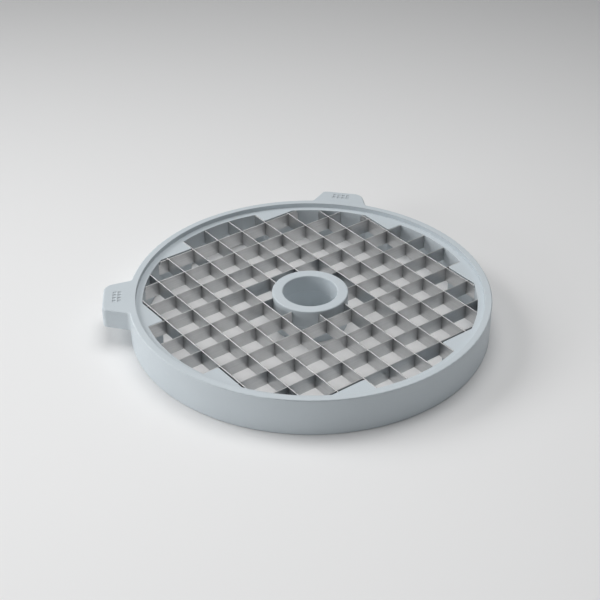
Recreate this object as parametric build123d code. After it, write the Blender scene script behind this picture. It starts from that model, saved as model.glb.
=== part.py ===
from build123d import *
import os
from math import cos, hypot, radians, sin, sqrt

# Dicing grid for a vegetable cutter: a round moulded frame with two keyed lugs, a hub for the
# machine's drive shaft, and a square lattice of half-lapped cutting blades between them.
# Millimetres. Z is up, and the blades cut with their upper edges. The origin is the centre of
# the hub bore, on the flat underside. Row blades lie along X and column blades lie along Y.

# ---- driving dimensions ----------------------------------------------------------------------

frame_radius = 92.5             # outside of the round frame
frame_height = 20.0
rim_width = 3.6                 # raised rim round the top
ledge_z = 17.6                  # top of the ledge inside the rim, flush with the blade edges
opening_radius = 85.4           # clear opening inside the ledge

blade_pitch = 16.0              # for 15 mm dice
blade_lines = 10                # in each direction
blade_thickness = 0.5
blade_depth = 8.0
edge_thickness = 0.1            # width of the ground cutting edge
edge_height = 0.15              # height of the ground bevel

hub_radius = 19.5
hub_bore_radius = 14.0
hub_top_z = 19.0

# Each lug's angle and tip radius. The uneven spacing makes the grid fit the machine one way round.
lugs = ((132.0, 103.5), (237.0, 105.3))
lug_root_width = 30.0
lug_tip_width = 22.0
lug_thickness = 10.3            # down from the top of the rim
lug_lead_fillet = 6.0           # the corner that leads when the grid is turned home
lug_trail_fillet = 3.0
lug_flare_fillet = 3.0          # where the sides of a lug run out into the skirt
lug_edge_fillet = 1.0

mark_radius = 98.2              # middle of the grid mark sunk into the top of each lug
mark_rows = 2
mark_columns = 4
mark_pitch = 2.5
mark_cell = 1.8
mark_depth = 0.3

# ---- fits and details ------------------------------------------------------------------------

blade_top_z = ledge_z
blade_bottom_z = ledge_z - blade_depth
lap_z = blade_bottom_z + blade_depth / 2        # where the crossing blades are notched to
notch_gap = 0.05                                # each side of a blade in a notch or a slot
tab_top_z = blade_top_z - 1.6                   # blade ends are lower, under the ledge skin
frame_slot_radius = 88.2                        # how far the blade ends reach into the frame
hub_tab_length = 3.0
slot_run_out = 2.0                              # slots are cut a little past the inner wall

clamp_bottom_z = 0.6                            # the clamp ring is recessed from the underside
clamp_outer_radius = 90.0
clamp_fit = 0.1
skirt_edge_fillet = 0.7
rim_edge_fillet = 0.5
hub_edge_fillet = 0.6
hub_mouth_fillet = 0.5
hub_foot_fillet = 0.5

pad_inner_gap = 1.1                             # narrow slot between an end blade and a pad
pad_side_gap = 0.1
pad_corner_fillet = 1.0

frame_screw = dict(radius=1.5, head_radius=2.75, head_height=2.0, length=12.0, socket=2.5)
hub_screw = dict(radius=1.0, head_radius=1.9, head_height=1.6, length=12.0, socket=1.5)
frame_head_pocket = 2.6
hub_head_pocket = 2.2
frame_screw_spot = (79.2, 29.6)                 # in the first corner pad, mirrored to the others
thread_gap = 0.03
shank_gap = 0.2
head_gap = 0.15

# ---- derived values --------------------------------------------------------------------------

rim_inner_radius = frame_radius - rim_width
line_offsets = [(i - (blade_lines - 1) / 2) * blade_pitch for i in range(blade_lines)]
outer_line = line_offsets[-1]
pad_inner_edge = outer_line + blade_thickness / 2 + pad_inner_gap
pad_first_line = 1.5 * blade_pitch
pad_start = pad_first_line + blade_thickness / 2 + pad_side_gap
pad_end = sqrt(opening_radius**2 - pad_inner_edge**2)
hub_screw_radius = (hub_radius + hub_bore_radius) / 2
quarter_turns = (0, 90, 180, 270)


# ---- helpers ---------------------------------------------------------------------------------

def disc(radius, z0, z1):
    """A solid disc about the Z axis between two heights."""
    return Pos(0, 0, z0) * Cylinder(radius, z1 - z0, align=(Align.CENTER, Align.CENTER, Align.MIN))


def block(x0, x1, y0, y1, z0, z1):
    """A block given by its two opposite corners."""
    centre = Pos((x0 + x1) / 2, (y0 + y1) / 2, (z0 + z1) / 2)
    return centre * Box(x1 - x0, y1 - y0, z1 - z0)


def save(name, shape):
    """Write one sub-part to its own file."""
    export_step(shape, f"parts/{name}.step")


def chord(radius, offset):
    """Half the length of a chord at this distance from the centre."""
    return sqrt(radius**2 - offset**2)


def each_pad():
    """The eight places of the corner pads, as the transforms that carry the first pad there."""
    for turn in quarter_turns:
        for flipped in (False, True):
            yield turn, flipped


def place_pad(shape, turn, flipped):
    """Carry a shape made at the first corner pad to another one."""
    copy = mirror(shape, Plane.XZ) if flipped else shape
    return Rot(0, 0, turn) * copy


def corner_pads(z0, z1):
    """The eight pads that fill the end cells outside the outermost blades."""
    root_radius = opening_radius + 1.0
    pad = block(pad_inner_edge, root_radius, pad_start, pad_end + 0.3, z0, z1)
    inner_corners = pad.edges().filter_by(Axis.Z).group_by(Axis.X)[0]
    pad = fillet(inner_corners.sort_by(Axis.Y)[0], pad_corner_fillet)
    pad = pad & disc(root_radius, z0, z1)
    return [place_pad(pad, turn, flipped) for turn, flipped in each_pad()]


def pad_screw_spots():
    """Centres of the eight frame screws, one in each pad."""
    x, y = frame_screw_spot
    spots = []
    for turn, flipped in each_pad():
        c, s = cos(radians(turn)), sin(radians(turn))
        yy = -y if flipped else y
        spots.append((x * c - yy * s, x * s + yy * c))
    return spots


def hub_screw_spots():
    """Centres of the four hub screws, on the diagonals between the blade slots."""
    return [(hub_screw_radius * cos(radians(45 + t)), hub_screw_radius * sin(radians(45 + t)))
            for t in quarter_turns]


# ---- blades ----------------------------------------------------------------------------------

def blade_strip(x0, x1):
    """A straight strip along X, ground to a narrow edge along its top."""
    half = blade_thickness / 2
    edge = edge_thickness / 2
    shoulder_z = blade_top_z - edge_height
    section = Polyline(
        (-half, blade_bottom_z), (half, blade_bottom_z), (half, shoulder_z),
        (edge, blade_top_z), (-edge, blade_top_z), (-half, shoulder_z), close=True)
    face = make_face(Plane.YZ * section)
    return Pos(x0, 0, 0) * extrude(face, x1 - x0, dir=(1, 0, 0))


def outer_ends(offset):
    """Distances from the middle of a line to the end of its top edge and of its end tab."""
    far_side = abs(offset) + blade_thickness / 2
    tab_end = chord(frame_slot_radius, far_side) - notch_gap
    if pad_start < abs(offset) < pad_end:
        return pad_inner_edge - notch_gap, tab_end
    return chord(opening_radius, far_side) - notch_gap, tab_end


def hub_ends(offset):
    """Distances from the middle of a line to its top edge and its tab, at the hub."""
    near_side = abs(offset) - blade_thickness / 2
    top_end = chord(hub_radius, near_side) + notch_gap
    tab_end = chord(hub_radius, abs(offset)) - hub_tab_length
    return top_end, tab_end


def trim_end(blade, top_end, tab_end):
    """Lower the end of a blade to its tab, which goes under the skin of the frame or hub."""
    x0, x1 = sorted((top_end, tab_end + (1 if tab_end > top_end else -1)))
    return blade - block(x0, x1, -1, 1, tab_top_z, blade_top_z + 1)


def blade(offset, side, notch_from_top):
    """One blade along X at y = offset. side is 0 for a whole line, or the sign of its half."""
    top_end, tab_end = outer_ends(offset)
    if side == 0:
        strip = blade_strip(-tab_end, tab_end)
        strip = trim_end(strip, top_end, tab_end)
        strip = trim_end(strip, -top_end, -tab_end)
        span = (-tab_end, tab_end)
    else:
        hub_top_end, hub_tab_end = hub_ends(offset)
        span = sorted((side * hub_tab_end, side * tab_end))
        strip = blade_strip(*span)
        strip = trim_end(strip, side * top_end, side * tab_end)
        strip = trim_end(strip, side * hub_top_end, side * hub_tab_end)
    half_notch = blade_thickness / 2 + notch_gap
    for x in line_offsets:
        if crosses(x, offset) and span[0] < x < span[1]:
            if notch_from_top:
                strip -= block(x - half_notch, x + half_notch, -1, 1, lap_z - notch_gap, blade_top_z + 1)
            else:
                strip -= block(x - half_notch, x + half_notch, -1, 1, blade_bottom_z - 1, lap_z + notch_gap)
    return Pos(0, offset, 0) * strip


def crosses(a, b):
    """True where a row and a column both run: inside the opening and outside the hub."""
    return hub_radius < hypot(a, b) < opening_radius


def stopped_by_hub(offset):
    return abs(offset) < hub_radius


def blade_sides(offset):
    return (-1, 1) if stopped_by_hub(offset) else (0,)


# ---- frame -----------------------------------------------------------------------------------

def tab_slots(offset, inner, outer):
    """Slots, open below, for the four blade tabs at this offset, between two distances."""
    half_slot = blade_thickness / 2 + notch_gap
    slot = block(inner, outer, offset - half_slot, offset + half_slot,
                 blade_bottom_z - 1, tab_top_z + notch_gap)
    return [Rot(0, 0, turn) * slot for turn in quarter_turns]


def frame_slots():
    """The slots in the frame for the ends of every blade."""
    slots = []
    for offset in line_offsets:
        top_end, tab_end = outer_ends(offset)
        slots += tab_slots(offset, top_end - slot_run_out, tab_end + 2 * notch_gap)
    return slots


def lug_mark():
    """The cells of the small grid mark, to be cut from the top of a lug."""
    half_cell = mark_cell / 2
    cells = []
    for row in range(mark_rows):
        for column in range(mark_columns):
            x = mark_radius + (row - (mark_rows - 1) / 2) * mark_pitch
            y = (column - (mark_columns - 1) / 2) * mark_pitch
            cells.append(block(x - half_cell, x + half_cell, y - half_cell, y + half_cell,
                               frame_height - mark_depth, frame_height + 1))
    return cells


def lug(angle, tip):
    """A tapered key on the outside of the frame, with rounded corners and flared sides."""
    root = frame_radius - 3
    half_root = lug_root_width / 2 + 0.9
    half_tip = lug_tip_width / 2
    key = Polyline((root, -half_root), (tip, -half_tip), (tip, half_tip), (root, half_root), close=True)
    wall = Circle(frame_radius - 0.1) - Circle(root)
    wall &= Pos(frame_radius, 0) * Rectangle(20, lug_root_width + 12)
    outline = make_face(key) + wall
    outline = fillet(outline.vertices().group_by(Axis.X)[-1].sort_by(Axis.Y)[0], lug_lead_fillet)
    outline = fillet(outline.vertices().group_by(Axis.X)[-1].sort_by(Axis.Y)[-1], lug_trail_fillet)
    beside_key = outline.vertices().filter_by(lambda v: half_tip + 2 < abs(v.Y) < half_root)
    outline = fillet(beside_key.filter_by(lambda v: root + 1 < v.X < frame_radius), lug_flare_fillet)
    body = Pos(0, 0, frame_height - lug_thickness) * extrude(outline, lug_thickness)
    top_edges = body.faces().sort_by(Axis.Z)[-1].edges()
    body = fillet(top_edges.filter_by(lambda e: e.center().X > frame_radius - 0.5), lug_edge_fillet)
    for cell in lug_mark():
        body -= cell
    return Rot(0, 0, angle) * body


def outer_frame():
    """The moulded ring: raised rim, ledge, corner pads, skirt, blade slots and lugs."""
    skirt = disc(frame_radius, 0, frame_height)
    skirt = fillet(skirt.edges().sort_by(Axis.Z)[0], skirt_edge_fillet)
    skirt = fillet(skirt.edges().sort_by(Axis.Z)[-1], rim_edge_fillet)
    for angle, tip in lugs:
        skirt += lug(angle, tip)
    skirt -= disc(rim_inner_radius, ledge_z, frame_height + 1)
    skirt -= disc(opening_radius, -1, ledge_z + 1)
    for pad in corner_pads(blade_bottom_z, ledge_z):
        skirt += pad
    skirt -= disc(clamp_outer_radius + clamp_fit, -1, blade_bottom_z)
    for slot in frame_slots():
        skirt -= slot
    for x, y in pad_screw_spots():
        top = clamp_bottom_z + frame_head_pocket + frame_screw["length"] + 0.3
        skirt -= Pos(x, y, 0) * disc(frame_screw["radius"] + thread_gap, blade_bottom_z - 1, top)
    return skirt


def clamp_ring():
    """The ring screwed up into the frame from below, which holds the blade ends in their slots."""
    ring = disc(clamp_outer_radius, clamp_bottom_z, blade_bottom_z)
    ring -= disc(opening_radius, 0, blade_bottom_z + 1)
    for ear in corner_pads(clamp_bottom_z, blade_bottom_z):
        ring += ear
    for x, y in pad_screw_spots():
        ring -= Pos(x, y, 0) * disc(frame_screw["radius"] + shank_gap, 0, blade_bottom_z + 1)
        ring -= Pos(x, y, 0) * disc(frame_screw["head_radius"] + head_gap, 0,
                                    clamp_bottom_z + frame_head_pocket)
    return ring


# ---- hub -------------------------------------------------------------------------------------

def hub_sleeve():
    """The upper part of the hub, with slots for the blades that it interrupts."""
    sleeve = disc(hub_radius, blade_bottom_z, hub_top_z)
    sleeve -= disc(hub_bore_radius, blade_bottom_z - 1, hub_top_z + 1)
    top = sleeve.faces().sort_by(Axis.Z)[-1].edges()
    sleeve = fillet(top.sort_by(SortBy.RADIUS)[-1], hub_edge_fillet)
    top = sleeve.faces().sort_by(Axis.Z)[-1].edges()
    sleeve = fillet(top.sort_by(SortBy.RADIUS)[0], hub_mouth_fillet)
    for offset in filter(stopped_by_hub, line_offsets):
        tab_end = hub_ends(offset)[1]
        for slot in tab_slots(offset, tab_end - notch_gap, hub_radius + slot_run_out):
            sleeve -= slot
    for x, y in hub_screw_spots():
        top_z = hub_head_pocket + hub_screw["length"] + 0.3
        sleeve -= Pos(x, y, 0) * disc(hub_screw["radius"] + thread_gap, blade_bottom_z - 1, top_z)
    return sleeve


def hub_collar():
    """The lower part of the hub, screwed up into the sleeve to hold the blade ends in it."""
    collar = disc(hub_radius, 0, blade_bottom_z)
    collar -= disc(hub_bore_radius, -1, blade_bottom_z + 1)
    bottom = collar.faces().sort_by(Axis.Z)[0].edges()
    collar = fillet(bottom.sort_by(SortBy.RADIUS)[-1], hub_foot_fillet)
    for x, y in hub_screw_spots():
        collar -= Pos(x, y, 0) * disc(hub_screw["radius"] + shank_gap, -1, blade_bottom_z + 1)
        collar -= Pos(x, y, 0) * disc(hub_screw["head_radius"] + head_gap, -1, hub_head_pocket)
    return collar


# ---- screws ----------------------------------------------------------------------------------

def cap_screw(size, seat_z):
    """A socket-head screw pointing up, with its head seated at this height."""
    head = disc(size["head_radius"], seat_z - size["head_height"], seat_z)
    head = fillet(head.edges().sort_by(Axis.Z)[0], 0.3)
    shank = disc(size["radius"], seat_z, seat_z + size["length"])
    shank = chamfer(shank.edges().sort_by(Axis.Z)[-1], 0.4)
    socket = extrude(RegularPolygon(size["socket"] / 2, 6, major_radius=False), size["head_height"] * 0.6)
    return head + shank - Pos(0, 0, seat_z - size["head_height"]) * socket


def screw_set(size, seat_z, spots):
    return Compound(children=[Pos(x, y, 0) * cap_screw(size, seat_z) for x, y in spots])


# ---- write the parts -------------------------------------------------------------------------

os.makedirs("parts", exist_ok=True)

save("outer_frame", outer_frame())
save("clamp_ring", clamp_ring())
save("clamp_ring_screws", screw_set(frame_screw, clamp_bottom_z + frame_head_pocket, pad_screw_spots()))
save("hub_sleeve", hub_sleeve())
save("hub_collar", hub_collar())
save("hub_collar_screws", screw_set(hub_screw, hub_head_pocket, hub_screw_spots()))

for number, line in enumerate(line_offsets, start=1):
    for part_side in blade_sides(line):
        row_end = {-1: "_left", 0: "", 1: "_right"}[part_side]
        column_end = {-1: "_front", 0: "", 1: "_back"}[part_side]
        save(f"row_blade_{number:02d}{row_end}", blade(line, part_side, notch_from_top=False))
        # A column is a row turned a quarter turn, so its offset changes sign.
        column = Rot(0, 0, 90) * blade(-line, part_side, notch_from_top=True)
        save(f"column_blade_{number:02d}{column_end}", column)
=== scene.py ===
import math

import bmesh
import bpy
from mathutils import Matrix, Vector


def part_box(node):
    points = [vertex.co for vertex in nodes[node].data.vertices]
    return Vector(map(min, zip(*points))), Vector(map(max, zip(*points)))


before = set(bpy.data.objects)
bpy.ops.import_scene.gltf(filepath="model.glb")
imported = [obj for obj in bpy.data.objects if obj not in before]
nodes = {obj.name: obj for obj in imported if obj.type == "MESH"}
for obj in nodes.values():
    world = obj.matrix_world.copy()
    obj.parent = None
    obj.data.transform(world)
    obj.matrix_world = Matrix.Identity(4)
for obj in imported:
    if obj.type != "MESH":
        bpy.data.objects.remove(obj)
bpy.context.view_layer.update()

# Looks of a moulded dicing grid with a steel blade lattice. Metres, in the CAD frame: row blades
# lie along X, column blades along Y, and the origin is the hub bore's centre on the underside.

mm = 0.001
X, Y, Z = 0, 1, 2

rim_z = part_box("outer_frame")[1].z
blade_top_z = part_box("row_blade_04")[1].z
blade_pitch = 16.0 * mm

view_turn = math.radians(52.8)          # the camera's right, measured from +X
view_drop = math.radians(33.66)         # how far it looks down
view_distance = 0.6643
aim_shift = (5.17 * mm, 5.64 * mm)      # the grid sits a little right of, and above, the middle
lens_mm = 78.0
sensor_mm = 36.0


# ---- node material helpers -------------------------------------------------------------------

class Graph:
    """A small helper that builds a material's node tree."""

    def __init__(self, name):
        self.material = bpy.data.materials.new(name)
        self.material.use_nodes = True
        self.tree = self.material.node_tree
        self.shader = self.tree.nodes["Principled BSDF"]
        self.place = self.add("ShaderNodeTexCoord").outputs["Object"]

    def add(self, kind, **settings):
        node = self.tree.nodes.new(kind)
        for key, value in settings.items():
            setattr(node, key, value)
        return node

    def put(self, value, socket):
        """Link an output to a socket, or set the socket to a plain value."""
        if isinstance(value, bpy.types.NodeSocket):
            self.tree.links.new(value, socket)
        elif value is not None:
            socket.default_value = value

    def shade(self, name, value):
        self.put(value, self.shader.inputs[name])

    def scaled(self, factors):
        """The object's coordinates, stretched by a factor along each axis."""
        node = self.add("ShaderNodeMapping")
        self.put(self.place, node.inputs["Vector"])
        node.inputs["Scale"].default_value = factors
        return node.outputs["Vector"]

    def noise(self, scale, detail=2.0, rough=0.5, where=None):
        """Noise from 0 to 1. Scale is the number of features in a metre."""
        node = self.add("ShaderNodeTexNoise")
        self.put(where or self.place, node.inputs["Vector"])
        node.inputs["Scale"].default_value = scale
        node.inputs["Detail"].default_value = detail
        node.inputs["Roughness"].default_value = rough
        return node.outputs["Fac"]

    def ramp(self, value, low, high, to_low=0.0, to_high=1.0):
        """Carry the range from low to high onto another one, and stop at its ends."""
        node = self.add("ShaderNodeMapRange", clamp=True)
        self.put(value, node.inputs["Value"])
        node.inputs["From Min"].default_value = low
        node.inputs["From Max"].default_value = high
        node.inputs["To Min"].default_value = to_low
        node.inputs["To Max"].default_value = to_high
        return node.outputs["Result"]

    def math(self, operation, a, b=None):
        node = self.add("ShaderNodeMath", operation=operation)
        self.put(a, node.inputs[0])
        self.put(b, node.inputs[1])
        return node.outputs["Value"]

    def times(self, a, b):
        return self.math("MULTIPLY", a, b)

    def mix(self, factor, a, b):
        """A colour mix."""
        node = self.add("ShaderNodeMix", data_type="RGBA")
        self.put(factor, node.inputs["Factor"])
        self.put(a, node.inputs["A"])
        self.put(b, node.inputs["B"])
        return node.outputs["Result"]

    def along(self, axis):
        """The object's coordinate along one axis."""
        node = self.add("ShaderNodeSeparateXYZ")
        self.put(self.place, node.inputs["Vector"])
        return node.outputs[axis]

    def bump(self, height, distance, strength=1.0, under=None):
        """A bumped normal. under is the normal that it starts from."""
        node = self.add("ShaderNodeBump")
        self.put(height, node.inputs["Height"])
        node.inputs["Distance"].default_value = distance
        node.inputs["Strength"].default_value = strength
        self.put(under, node.inputs["Normal"])
        return node.outputs["Normal"]

    def rounded(self, radius):
        """The normal of a surface whose edges are rounded off by this radius."""
        node = self.add("ShaderNodeBevel", samples=6)
        node.inputs["Radius"].default_value = radius
        return node.outputs["Normal"]

    def edges(self, rounded):
        """0 on flats and more on sharp edges, from how far a rounded normal departs."""
        flat = self.add("ShaderNodeNewGeometry")
        dot = self.add("ShaderNodeVectorMath", operation="DOT_PRODUCT")
        self.put(rounded, dot.inputs[0])
        self.put(flat.outputs["Normal"], dot.inputs[1])
        return self.math("SUBTRACT", 1.0, dot.outputs["Value"])


def colour(r, g, b):
    return (r, g, b, 1.0)


def grey(shade):
    return colour(shade, shade, shade)


# ---- materials -------------------------------------------------------------------------------

plastic_base = colour(0.565, 0.62, 0.655)
plastic_worn_and_highlight = colour(0.74, 0.77, 0.79)
plastic_dirty = colour(0.525, 0.58, 0.615)
plastic_edge_radius = 0.4 * mm
cloud_strength = 0.35
speck_strength = 0.10
rub_and_highlight_strength = 0.7

steel_dark = colour(0.61, 0.615, 0.62)
steel_light = colour(0.70, 0.705, 0.71)
steel_smeared = colour(0.50, 0.51, 0.515)
steel_painted_shade = colour(0.16, 0.165, 0.17)
smear_strength = 0.4
across_grain = (1500.0, 1500.0, 1900.0)
along_grain = 45.0
painted_shade_reach = 5.5 * mm                # how far the painted shade spreads from a crossing
edge_band = (0.19 * mm, 0.15 * mm)      # where the ground edge starts, below the top of a blade
# The ground edge's colour is painted light: darker on row blades to dim their highlight, and lighter
# on column blades as a painted highlight.
row_edge_painted_shade = 0.40
column_edge_painted_highlight = 0.70


def moulded_plastic():
    """Satin glass-filled plastic: fine moulded grain, cloudy tone, and handling marks. Its sharp
    edges are lighter, partly from rubbed wear and partly as a painted highlight.
    """
    g = Graph("frame_plastic_moulded")
    clouds = g.ramp(g.noise(38.0, 3.0), 0.35, 0.65)
    specks = g.ramp(g.noise(2600.0, 2.0), 0.42, 0.72)
    body = g.mix(g.times(clouds, cloud_strength), plastic_base, plastic_dirty)
    body = g.mix(g.times(specks, speck_strength), body, plastic_worn_and_highlight)
    soft_edge = g.rounded(plastic_edge_radius)
    patches = g.ramp(g.noise(170.0, 4.0), 0.34, 0.58, 0.35, 1.0)
    # Lighter sharp edges: partly rubbed wear and partly a painted highlight.
    rubbed_and_highlight = g.times(g.ramp(g.edges(soft_edge), 0.01, 0.12), patches)
    g.shade("Base Color", g.mix(g.times(rubbed_and_highlight, rub_and_highlight_strength), body, plastic_worn_and_highlight))
    g.shade("Roughness", g.ramp(g.noise(420.0, 4.0), 0.3, 0.7, 0.42, 0.54))
    g.shade("Specular IOR Level", 0.45)
    grain = g.bump(g.noise(1700.0, 3.0, 0.6), 0.03 * mm, 0.5, soft_edge)
    g.shade("Normal", g.bump(g.noise(60.0, 2.0), 0.10 * mm, 0.5, grain))
    return g.material


def ground_steel(name, axis, edge_painted_tone):
    """Stainless strip with drawn grain along one axis and a finely ground edge on top. The edge's
    colour is painted light, set by the blade's direction, and the steel beside each crossing is
    darkened as painted shade.
    """
    g = Graph(name)
    stretch = list(across_grain)
    stretch[axis] = along_grain
    grain = g.noise(1.0, 4.0, 0.6, g.scaled(stretch))
    smears = g.ramp(g.noise(80.0, 4.0), 0.40, 0.68)
    steel = g.mix(g.ramp(grain, 0.3, 0.7), steel_dark, steel_light)
    steel = g.mix(g.times(smears, smear_strength), steel, steel_smeared)
    # The blades cross at odd half pitches, which is where this triangle wave peaks.
    to_crossing = g.math("PINGPONG", g.along(axis), blade_pitch / 2)
    corner = g.ramp(to_crossing, blade_pitch / 2 - painted_shade_reach, blade_pitch / 2)
    # Painted shade: the steel is darkened beside each crossing, standing in for the dark reflections
    # in the corners.
    painted_corner_shade = g.times(g.times(corner, corner), g.ramp(smears, 0.0, 1.0, 0.45, 0.62))
    steel = g.mix(painted_corner_shade, steel, steel_painted_shade)
    edge = g.ramp(g.along(Z), blade_top_z - edge_band[0], blade_top_z - edge_band[1])
    # Painted light on the ground edge: its colour is set by the blade's direction, to dim or brighten
    # the highlight there.
    g.shade("Base Color", g.mix(edge, steel, grey(edge_painted_tone)))
    g.shade("Metallic", 1.0)
    rough = g.ramp(grain, 0.25, 0.75, 0.27, 0.35)
    g.shade("Roughness", g.math("ADD", rough, g.times(edge, 0.16)))
    g.shade("Normal", g.bump(grain, 0.006 * mm, 0.2))
    return g.material


def screw_steel():
    """Turned stainless steel for the socket screws."""
    g = Graph("screw_steel_turned")
    worn = g.ramp(g.noise(900.0, 3.0), 0.35, 0.65)
    g.shade("Base Color", g.mix(worn, grey(0.46), colour(0.60, 0.60, 0.59)))
    g.shade("Metallic", 1.0)
    g.shade("Roughness", g.ramp(worn, 0.0, 1.0, 0.26, 0.40))
    g.shade("Normal", g.bump(g.noise(3200.0, 2.0), 0.01 * mm, 0.4))
    return g.material


def paper(name, shade, unevenness):
    """The matt floor, very slightly uneven in tone."""
    g = Graph(name)
    g.shade("Base Color", g.mix(g.noise(3.0, 2.0), grey(shade - unevenness), grey(shade)))
    g.shade("Roughness", 0.75)
    g.shade("Specular IOR Level", 0.2)
    return g.material


plastic = moulded_plastic()
row_steel = ground_steel("blade_steel_rows", X, row_edge_painted_shade)
column_steel = ground_steel("blade_steel_columns", Y, column_edge_painted_highlight)
fastener = screw_steel()


def material_for(name):
    if "screws" in name:
        return fastener
    if name.startswith("row_blade"):
        return row_steel
    if name.startswith("column_blade"):
        return column_steel
    return plastic


for node_name, node in nodes.items():
    for slot in node.material_slots:
        slot.material = material_for(node_name)


# ---- floor and light -------------------------------------------------------------------------

def backdrop():
    """A pale floor that curves up into a wall far behind the object."""
    half_width = 12.0
    floor_front, floor_back = -12.0, 1.9
    bend_radius, bend_steps = 0.8, 16
    wall_top = 3.0
    profile = [(floor_front, 0.0), (floor_back, 0.0)]
    for i in range(1, bend_steps + 1):
        turn = math.pi / 2 * i / bend_steps
        rise = bend_radius * (1 - math.cos(turn))
        profile.append((floor_back + bend_radius * math.sin(turn), rise))
    profile.append((floor_back + bend_radius, wall_top))
    mesh = bmesh.new()
    rails = [[mesh.verts.new((x, y, z)) for y, z in profile] for x in (-half_width, half_width)]
    for i in range(len(profile) - 1):
        mesh.faces.new((rails[0][i], rails[1][i], rails[1][i + 1], rails[0][i + 1]))
    data = bpy.data.meshes.new("backdrop")
    mesh.to_mesh(data)
    mesh.free()
    for face in data.polygons:
        face.use_smooth = True
    data.materials.append(paper("backdrop_paper", 0.83, 0.015))
    sheet = bpy.data.objects.new("backdrop", data)
    sheet.rotation_euler = (0, 0, view_turn)
    bpy.context.scene.collection.objects.link(sheet)


def ray(azimuth, elevation):
    """A direction from the object. Azimuth 0 is the camera's right, and 90 is away from it."""
    turn = view_turn + math.radians(azimuth)
    lift = math.radians(elevation)
    level = math.cos(lift)
    return Vector((math.cos(turn) * level, math.sin(turn) * level, math.sin(lift)))


def softbox(name, azimuth, elevation, distance, size, power, spread=180.0, aim=(0.0, 0.0)):
    """A square softbox. Its aim is a point on the floor, to the right of the object and beyond it."""
    light = bpy.data.lights.new(name, "AREA")
    light.shape = "SQUARE"
    light.size = size
    light.energy = power
    light.spread = math.radians(spread)
    holder = bpy.data.objects.new(name, light)
    holder.location = ray(azimuth, elevation) * distance
    target = ray(0, 0) * aim[0] + ray(90, 0) * aim[1]
    holder.rotation_euler = (holder.location - target).to_track_quat("Z", "Y").to_euler()
    bpy.context.scene.collection.objects.link(holder)


def world_light(strength):
    world = bpy.data.worlds.new("studio")
    world.use_nodes = True
    background = world.node_tree.nodes["Background"]
    background.inputs["Color"].default_value = colour(0.97, 0.985, 1.0)
    background.inputs["Strength"].default_value = strength
    bpy.context.scene.world = world


# ---- camera ----------------------------------------------------------------------------------

def camera():
    right = Vector((math.cos(view_turn), math.sin(view_turn), 0))
    level = Vector((-right.y, right.x, 0))
    forward = level * math.cos(view_drop) - Vector((0, 0, 1)) * math.sin(view_drop)
    up = level * math.sin(view_drop) + Vector((0, 0, 1)) * math.cos(view_drop)
    data = bpy.data.cameras.new("camera")
    data.sensor_width = sensor_mm
    data.lens = lens_mm
    data.clip_start = 0.01
    holder = bpy.data.objects.new("camera", data)
    aim = Vector((0, 0, rim_z))
    holder.location = aim - right * aim_shift[0] - up * aim_shift[1] - forward * view_distance
    holder.rotation_euler = (-forward).to_track_quat("Z", "Y").to_euler()
    bpy.context.scene.collection.objects.link(holder)
    bpy.context.scene.camera = holder


# ---- the scene -------------------------------------------------------------------------------

camera()
backdrop()
softbox("key", azimuth=163, elevation=36, distance=1.4, size=0.7, power=1.5,
        spread=70, aim=(-0.10, -0.14))
softbox("overhead", azimuth=75, elevation=80, distance=1.1, size=0.8, power=1.55,
        spread=80, aim=(-0.04, -0.16))
softbox("left_low", azimuth=200, elevation=14, distance=1.3, size=0.5, power=5.4)
softbox("right", azimuth=355, elevation=15, distance=1.8, size=0.8, power=0.9)
world_light(0.20)
bpy.context.scene.view_settings.view_transform = "Standard"
